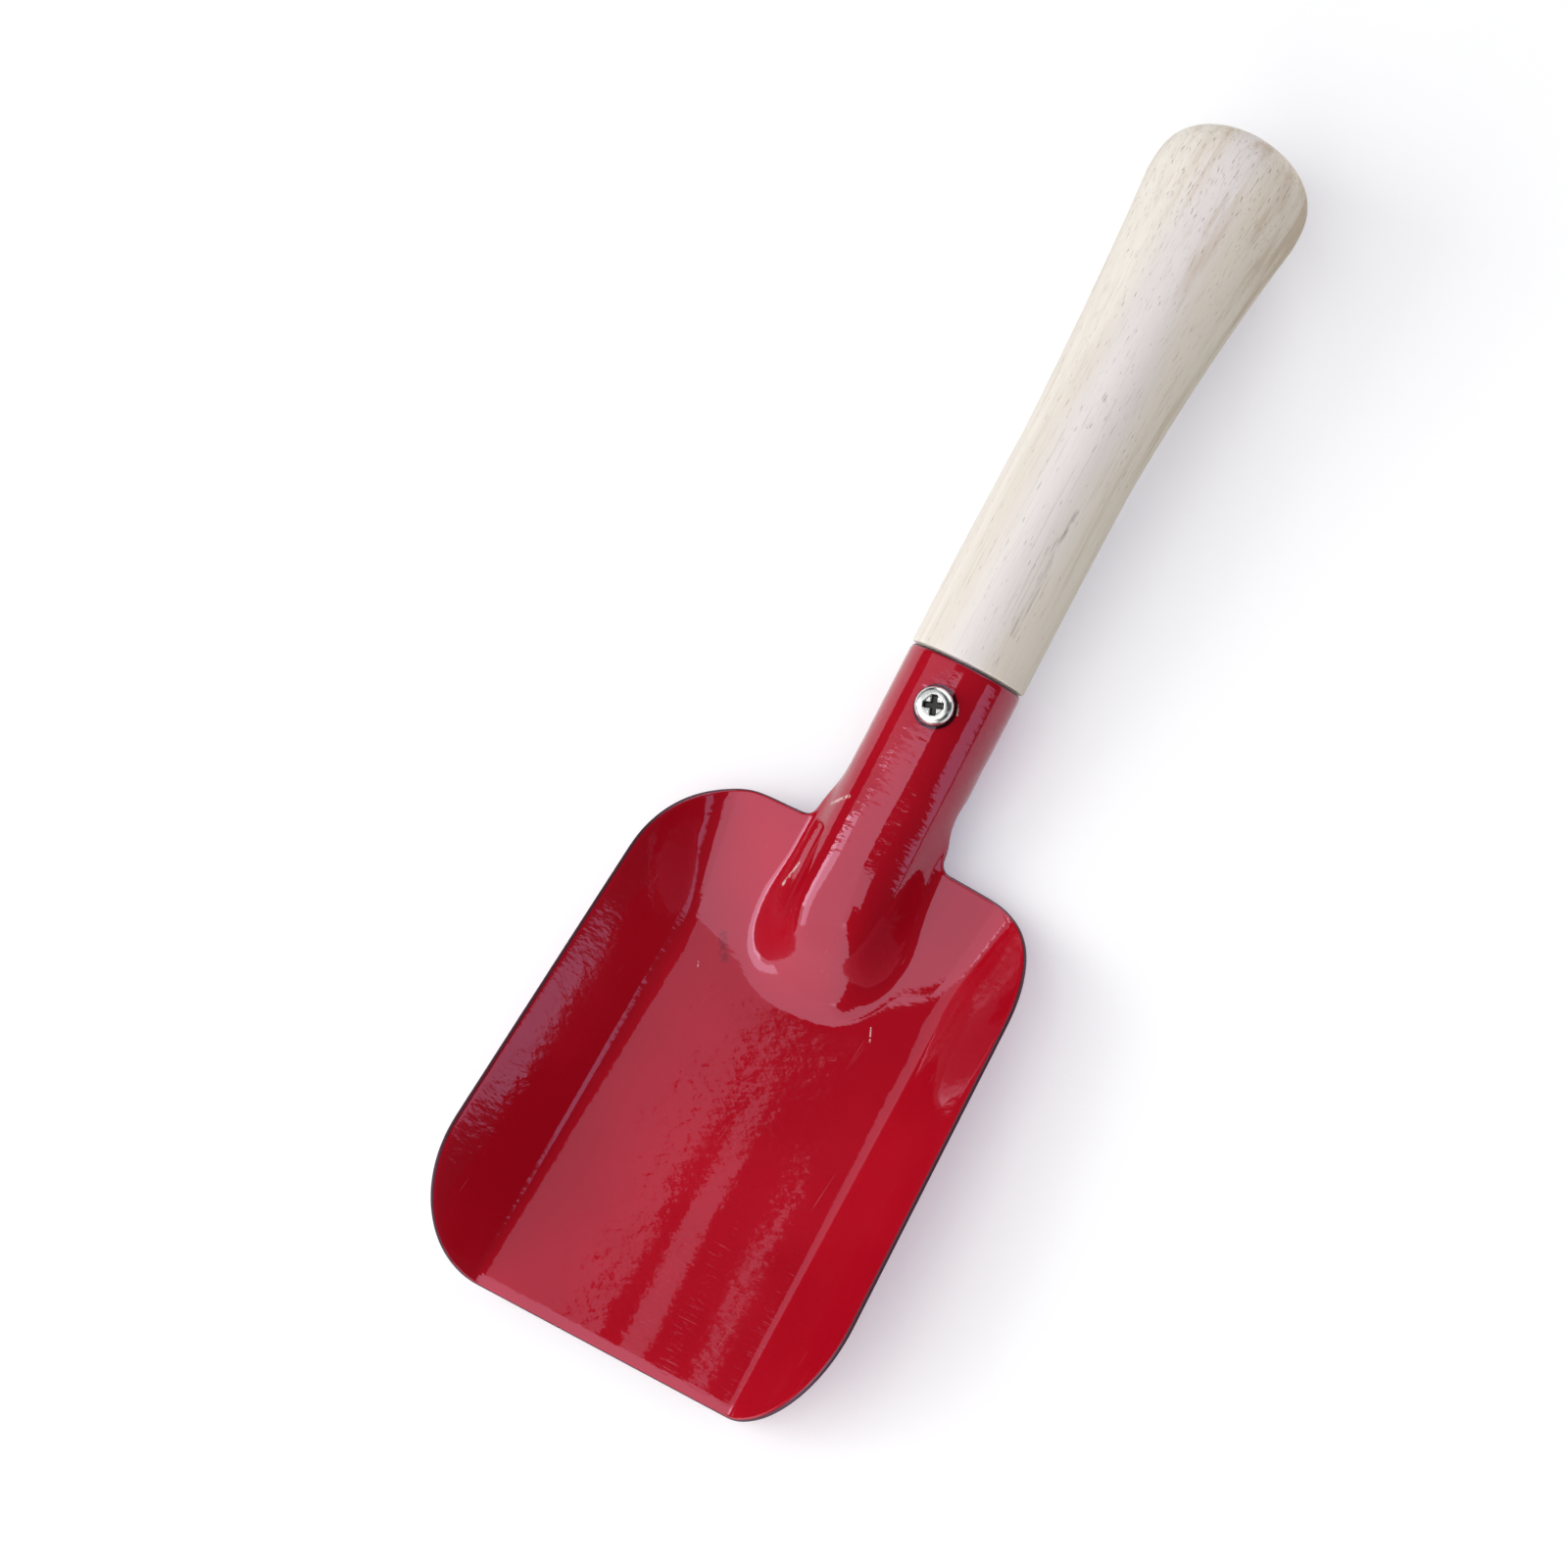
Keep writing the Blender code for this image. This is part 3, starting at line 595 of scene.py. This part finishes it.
def handle_outline():
    """Distance along from the socket's rim, and radius: the neck's radius plus a swell that
    goes as a power of the distance, a little hollowed, then a superellipse round the butt."""
    shank_radius = SOCKET_RADIUS - SHEET - CLEARANCE
    tip_radius = shank_radius - SHANK_TAPER
    shank = [
        (-SHANK_LENGTH, tip_radius - SHANK_CHAMFER),
        (-SHANK_LENGTH + SHANK_CHAMFER, tip_radius),
        (CLEARANCE, shank_radius),
        (CLEARANCE, NECK_RADIUS - SHOULDER_CHAMFER),
        (CLEARANCE + SHOULDER_CHAMFER * 0.3, NECK_RADIUS - SHOULDER_CHAMFER * 0.3),
        (CLEARANCE + SHOULDER_CHAMFER, NECK_RADIUS),
    ]
    neck = spread(CLEARANCE + 2 * SHOULDER_CHAMFER, NECK_LENGTH, NECK_RINGS)[:-1]
    swell_end = GRIP_LENGTH - BUTT_LENGTH
    share = np.linspace(0, 1, SWELL_RINGS)
    swell = share**SWELL_POWER * (1 - SWELL_HOLLOW * np.sin(pi * share))
    turn = np.sin(np.linspace(0, pi / 2, BUTT_RINGS)[1:-1])
    along = [[row[0] for row in shank], neck, NECK_LENGTH + (swell_end - NECK_LENGTH) * share]
    along.append(swell_end + BUTT_LENGTH * turn)
    radius = [[row[1] for row in shank], np.full(len(neck), NECK_RADIUS)]
    radius.append(NECK_RADIUS + (BUTT_RADIUS - NECK_RADIUS) * swell)
    radius.append(BUTT_RADIUS * np.sqrt(1 - turn**BUTT_BLUNTNESS))
    return np.concatenate(along), np.concatenate(radius)


def round_faces(rings, sides):
    """Faces of a turned shape: quads between rings, and a fan to a pole at each end."""
    index = np.arange(rings * sides).reshape(rings, sides)
    quads = grid_faces(np.hstack([index, index[:, :1]]))
    first, last = rings * sides, rings * sides + 1
    around = np.arange(sides)
    following = (around + 1) % sides
    low = np.stack([np.full(sides, first), around, following], axis=1)
    high = np.stack([np.full(sides, last), index[-1, following], index[-1, around]], axis=1)
    return quads.tolist() + low.tolist() + high.tolist()


def bare_wood():
    """Pale hardwood: growth layers stretched along the stick, a painted sheen as a greyer
    lavender band along its top and underside, one side yellower, and tan streaks and short
    dark pores, of which the butt has more. There is one dark streak near the neck, and the
    fibres stand a little."""
    finish = Finish("bare_wood")
    stick = finish.add("Attribute", {"attribute_name": "stick"}, output="Vector")
    long = finish.stretched(stick, (7, 120, 120))
    layers = finish.ease(finish.noise(long, 1, 4, 0.55, 0.6), 0.35, 0.68)
    colour = finish.blend(layers, *LAYER_COLOURS)
    side = finish.add("SeparateXYZ", values={"Vector": stick}, output=1)
    wobble = finish.noise(finish.stretched(stick, (16, 60, 60)), 1, 3, 0.6) * 0.010 - 0.005
    # Painted sheen: a greyer lavender band along the stick's top and underside stands for the
    # lamps' reflection on the wood.
    painted_sheen = finish.ease(abs(side + wobble + 0.0015), 0.0070, 0.0015)
    colour = finish.blend(painted_sheen * 0.6, colour, PAINTED_SHEEN_COLOUR)
    flank = finish.ease(side + wobble, -0.0040, -0.0085)
    colour = finish.blend(flank * 0.4, colour, FLANK_COLOUR)
    streak = finish.noise(finish.stretched(stick, (5, 260, 260)), 1, 3, 0.6)
    along = finish.add("SeparateXYZ", values={"Vector": stick}, output=0)
    near_butt = finish.ease(along, *BUTT_FLECKS)
    darker = finish.ease(streak + near_butt * 0.10, 0.56, 0.78)
    colour = finish.blend(darker * 0.55, colour, STREAK_COLOUR)
    fibre = finish.noise(finish.stretched(stick, (60, 3200, 3200)), 1, 3, 0.6)
    colour = finish.blend(finish.ease(fibre, 0.54, 0.74) * 0.40, colour, FIBRE_COLOUR)
    pore_place = finish.stretched(stick, (420, 4200, 4200))
    pores = finish.ease(finish.noise(pore_place, 1, 1, 0.5) + near_butt * 0.05, 0.69, 0.79)
    colour = finish.blend(pores * 0.6, colour, PORE_COLOUR)
    drift = finish.add("TexNoise", values={"Vector": stick, "Scale": 170, "Detail": 3}, output=1)
    values = {0: drift, 1: (0, DARK_STREAK_DRIFT, 0), 2: stick}
    drift = finish.add("VectorMath", {"operation": "MULTIPLY_ADD"}, values)
    dark_streak = stroke(finish, drift, *DARK_STREAK) * finish.ease(fibre, 0.38, 0.62)
    colour = finish.blend(dark_streak * 0.7, colour, DARK_STREAK_COLOUR)
    grain = finish.bump(fibre, FIBRE_HEIGHT, 0.7)
    grain = finish.bump(pores, -PORE_DEPTH, 0.8, grain)
    finish.surface(Base_Color=colour, Roughness=0.55 + fibre * 0.15, Normal=grain)
    return finish.material


def build_handle():
    """Rings square to a centre line that is straight in the socket and then a circular arc
    that bends down. Each point keeps its place in the straight stick for the grain."""
    along, radius = handle_outline()
    angle = np.linspace(0, 2 * pi, HANDLE_SIDES, endpoint=False)
    turned = np.maximum(along, 0) / GRIP_BEND_RADIUS
    ahead = np.minimum(along, 0) + GRIP_BEND_RADIUS * np.sin(turned)
    down = GRIP_BEND_RADIUS * (1 - np.cos(turned))
    centre = rim_centre + ahead[:, None] * axis_along - down[:, None] * axis_up
    upward = np.cos(turned)[:, None] * axis_up + np.sin(turned)[:, None] * axis_along
    side = radius[:, None] * np.sin(angle)
    lift = radius[:, None] * np.cos(angle)
    rings = centre[:, None] + lift[..., None] * upward[:, None] + side[..., None] * sideways
    tip = handle_pole(GRIP_LENGTH)
    points = np.concatenate([rings.reshape(-1, 3), [centre[0], tip]])
    faces = round_faces(len(along), len(angle))
    made = new_piece("wooden_handle", laid_down(points), faces, bare_wood())
    stick = np.stack([np.broadcast_to(along[:, None], side.shape), side, lift], axis=-1)
    ends = [(-SHANK_LENGTH, 0, 0), (GRIP_LENGTH, 0, 0)]
    stick = np.concatenate([stick.reshape(-1, 3), ends])
    attribute = made.data.attributes.new("stick", "FLOAT_VECTOR", "POINT")
    attribute.data.foreach_set("vector", stick.ravel())
    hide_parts("handle")


def handle_pole(along):
    """The centre line's point at a distance along the arc."""
    turned = along / GRIP_BEND_RADIUS
    reach = GRIP_BEND_RADIUS * sin(turned) * axis_along
    return rim_centre + reach - GRIP_BEND_RADIUS * (1 - cos(turned)) * axis_up


build_handle()

# The screw is an ordinary wood screw of zinc-plated steel with a flat-topped round head
# and a cross recess. It goes through the top of the socket into the shank and is all that
# holds the handle. Its recess is painted near black as shade with some dirt, and its dish is
# painted darker and mottled.
HEAD_RADIUS = 0.0035
HEAD_HEIGHT = 0.0019
HEAD_FLAT_SHARE = 0.62
HEAD_UNDERSIDE_SHARE = 0.96
HEAD_SIDE_SHARES = (0.22, 0.04, 0, 0)
HEAD_RINGS = 30
CROWN_FOOT_SHARE = 0.30
CROWN_TURN = 0.42 * pi
CROWN_RINGS = 12
CORE_RADIUS = 0.00115
THREAD_RADIUS = 0.00170
THREAD_PITCH = 0.0013
THREAD_RINGS = 120
SCREW_LENGTH = 0.0150
SCREW_SIDES = 72
TIP_LENGTH = 3 * CORE_RADIUS
TIP_RINGS = 12
RECESS_RADIUS = 0.0017
RECESS_WIDTH = 0.0008
RECESS_DEPTH = 0.0013
RECESS_EDGE = 0.0002
RECESS_TURN = radians(20)
DISH_RADIUS = 0.0018
DISH_DEPTH = 0.0003
DISH_EDGE = 0.00025
SHADE_AND_DIRT_EDGE = 0.0006
DISH_SHADE_AND_DIRT = 0.45
ZINC_COLOURS = ((0.62, 0.64, 0.62), (0.80, 0.81, 0.79))
SHADE_AND_DIRT_COLOUR = (0.02, 0.018, 0.015)
TURNING_MARK_HEIGHT = 0.00001


def recess_share(radius, angle):
    """How deep the recess is, as a share: one inside two crossed bars, and falling to
    nought over a narrow edge outside them."""
    x, y = radius * np.cos(angle - RECESS_TURN), radius * np.sin(angle - RECESS_TURN)
    half = RECESS_WIDTH / 2
    first = np.maximum(np.abs(x) - RECESS_RADIUS, np.abs(y) - half)
    second = np.maximum(np.abs(y) - RECESS_RADIUS, np.abs(x) - half)
    return smoothstep(1 - np.minimum(first, second) / RECESS_EDGE)


def bright_zinc():
    """Zinc plate: a bluish silver with fine turning marks, and painted shade with dirt, near
    black and not metal, where the mesh says: in the recess, and mottled over the dish.
    """
    finish = Finish("bright_zinc")
    place = finish.place()
    # Painted shade with dirt: the recess and the dish go near black and lose their metal.
    shade_and_dirt = finish.add("Attribute", {"attribute_name": "shade_and_dirt"}, output="Fac")
    shade_and_dirt = finish.ease(shade_and_dirt + finish.noise(place, 2600, 2) * 0.8, 0.75, 1.05)
    cloud = finish.noise(place, 900, 3)
    colour = finish.blend(finish.ease(cloud, 0.35, 0.7), *ZINC_COLOURS)
    colour = finish.blend(shade_and_dirt, colour, SHADE_AND_DIRT_COLOUR)
    scratch = finish.noise(finish.stretched(place, (900, 9000, 900), (0, 0, 0.7)), 1, 2)
    skin = finish.bump(scratch, TURNING_MARK_HEIGHT, 0.5)
    rough = 0.20 + cloud * 0.15
    finish.surface(Base_Color=colour, Metallic=1 - shade_and_dirt, Roughness=rough, Normal=skin)
    return finish.material


def build_screw():
    """Rings about the screw's axis. The head's top is dished, with the recess in the dish,
    and below the head the radius is the core's plus a ridge that climbs one pitch a turn."""
    top = CLEARANCE + HEAD_HEIGHT
    flat = np.linspace(0.04, HEAD_FLAT_SHARE, HEAD_RINGS) * HEAD_RADIUS
    turn = np.linspace(0, CROWN_TURN, CROWN_RINGS)[1:]
    crown = HEAD_RADIUS * (HEAD_FLAT_SHARE + (1 - HEAD_FLAT_SHARE) * np.sin(turn))
    crown_share = CROWN_FOOT_SHARE + (1 - CROWN_FOOT_SHARE) * np.cos(turn)
    crown_height = CLEARANCE + HEAD_HEIGHT * crown_share
    side_height = CLEARANCE + np.array(HEAD_SIDE_SHARES) * HEAD_HEIGHT
    side = [HEAD_RADIUS, HEAD_RADIUS, HEAD_RADIUS * HEAD_UNDERSIDE_SHARE, CORE_RADIUS]
    thread_top = -SHEET - CLEARANCE
    bottom = -SCREW_LENGTH + TIP_LENGTH
    shank_height = np.linspace(thread_top, bottom, THREAD_RINGS)
    tip_height = np.linspace(bottom, -SCREW_LENGTH, TIP_RINGS)[1:-1]
    tip = CORE_RADIUS * (tip_height + SCREW_LENGTH) / TIP_LENGTH
    core = np.full(THREAD_RINGS, CORE_RADIUS)
    flat_height = np.full(HEAD_RINGS, top)
    radius = np.concatenate([flat, crown, side, core, tip])[:, None]
    height = np.concatenate([flat_height, crown_height, side_height, shank_height, tip_height])
    height = height[:, None]
    angle = np.linspace(0, 2 * pi, SCREW_SIDES, endpoint=False)
    recess = np.where(height > top - 0.0001, recess_share(radius, angle), 0)
    dish = smoothstep((DISH_RADIUS - radius) / DISH_EDGE)
    height = height - DISH_DEPTH * dish - (RECESS_DEPTH - DISH_DEPTH) * recess
    # Painted shade with dirt: full in the recess, and a share over the dish.
    shade_and_dirt = np.maximum(recess, DISH_SHADE_AND_DIRT * smoothstep((DISH_RADIUS - radius) / SHADE_AND_DIRT_EDGE))
    phase = (height / THREAD_PITCH - angle / (2 * pi)) % 1
    ridge = np.maximum(1 - 4 * np.abs(phase - 0.5), 0)
    fade = smoothstep((thread_top - height) / THREAD_PITCH)
    fade = fade * smoothstep((height - bottom) / THREAD_PITCH)
    radius = radius + (THREAD_RADIUS - CORE_RADIUS) * ridge * fade
    across = (radius * np.cos(angle))[..., None] * axis_along
    across = across + (radius * np.sin(angle))[..., None] * sideways
    rings = screw_hole + across + height[..., None] * axis_up
    poles = [screw_hole + (top - RECESS_DEPTH) * axis_up, screw_hole - SCREW_LENGTH * axis_up]
    points = np.concatenate([rings.reshape(-1, 3), poles])
    faces = round_faces(*rings.shape[:2])
    made = new_piece("wood_screw", laid_down(points), faces, bright_zinc())
    attribute = made.data.attributes.new("shade_and_dirt", "FLOAT", "POINT")
    attribute.data.foreach_set("value", np.concatenate([shade_and_dirt.ravel(), [1, 0]]))
    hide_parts("screw")


build_screw()

# The table is a plain white sheet. The main soft panel hangs over its left, with two brighter
# strips low down, and three more meet it in front and at the front right. Dimmer ones stand
# beside and behind, and a narrow one on the right. The camera looks down from front right.
CAMERA_PLACE = (-0.16214, -0.13841, 0.72411)
CAMERA_TURN = (radians(15.634), radians(5.542), radians(-61.10))
CAMERA_LENS = 96.81
SENSOR_WIDTH = 36
TABLE_SIZE = 20.0
TABLE_COLOUR = (0.80, 0.81, 0.75, 1)
TABLE_LIFT = (0.26, 0.25, 0.32)
WORLD_COLOUR = (0.85, 0.88, 1.0, 1)
WORLD_STRENGTH = 0.05

camera = bpy.data.objects.new("camera", bpy.data.cameras.new("camera"))
camera.location = CAMERA_PLACE
camera.rotation_euler = CAMERA_TURN
camera.data.sensor_width = SENSOR_WIDTH
camera.data.lens = CAMERA_LENS
bpy.context.scene.collection.objects.link(camera)
bpy.context.scene.camera = camera

half = TABLE_SIZE / 2
corners = np.array([(-half, -half, 0), (half, -half, 0), (half, half, 0), (-half, half, 0)])
table_mesh = bpy.data.meshes.new("table")
table_mesh.from_pydata(corners.tolist(), [], [(0, 1, 2, 3)])
table_finish = Finish("white_table")
seen = table_finish.add("LightPath", output="Is Camera Ray")
mirrored = table_finish.add("LightPath", output="Is Glossy Ray")
through = table_finish.add("LightPath", output="Is Transmission Ray")
seen = seen + mirrored + through
lift = table_finish.blend(seen, (0, 0, 0), TABLE_LIFT)
table_finish.surface(Base_Color=TABLE_COLOUR, Roughness=0.9, Specular_IOR_Level=0.0)
table_finish.surface(Emission_Color=lift, Emission_Strength=1.0)
table_mesh.materials.append(table_finish.material)
table = bpy.data.objects.new("table", table_mesh)
bpy.context.scene.collection.objects.link(table)


def soft_panel(name, middle, across, along, radiance, colour=(1, 1, 1)):
    """A rectangular lamp. Its sides run along two square vectors, whose lengths are its
    sizes, and it shines against their cross product. Its power is pi times area times
    radiance."""
    across, along = Vector(across), Vector(along)
    lamp = bpy.data.lights.new(name, "AREA")
    lamp.shape = "RECTANGLE"
    lamp.size, lamp.size_y = across.length, along.length
    lamp.energy = pi * across.length * along.length * radiance
    lamp.color = colour
    made = bpy.data.objects.new(name, lamp)
    facing = across.cross(along).normalized()
    axes = Matrix((across.normalized(), along.normalized(), facing)).transposed()
    made.matrix_world = Matrix.Translation(middle) @ axes.to_4x4()
    made.visible_camera = False
    bpy.context.scene.collection.objects.link(made)


soft_panel("key", (-0.904, 0.573, 1.055), (0, -1.594, 0.89), (1.592, 0, 0), 1.8)
soft_panel("key_low", (-0.904, 0.99, 0.82), (0, -0.32, 0.18), (1.592, 0, 0), 2.3)
soft_panel("key_edge", (-0.50, 1.26, 0.67), (0, -0.22, 0.12), (0.80, 0, 0), 4.5)
soft_panel("front", (-1.70, 0.0435, 0.4895), (0, -1.92, 1.072), (0, 0.733, 1.313), 1.7)
soft_panel("front_right", (-0.615, -0.637, 1.50), (0, -0.826, 0), (0.67, 0, 0), 1.6)
soft_panel("front_far", (-1.325, -0.362, 1.50), (0, -0.276, 0), (0.75, 0, 0), 1.6)
soft_panel("beside", (0.25, 0.80, 0.92), (0, -1.12, 0.62), (0.716, 0, 0), 0.8)
soft_panel("behind", (1.2, -0.3, 0.75), (0, 1.8, 0), (0, 0, 1.2), 1.9)
soft_panel("narrow", (0.0, -0.5, 0.18), (0.058, 0, 0), (0, 0, 0.29), 1.3, (0.80, 0.80, 1.0))

world = bpy.data.worlds.new("studio")
world.use_nodes = True
background = world.node_tree.nodes["Background"]
background.inputs["Color"].default_value = WORLD_COLOUR
background.inputs["Strength"].default_value = WORLD_STRENGTH
bpy.context.scene.world = world
bpy.context.scene.view_settings.view_transform = "Standard"
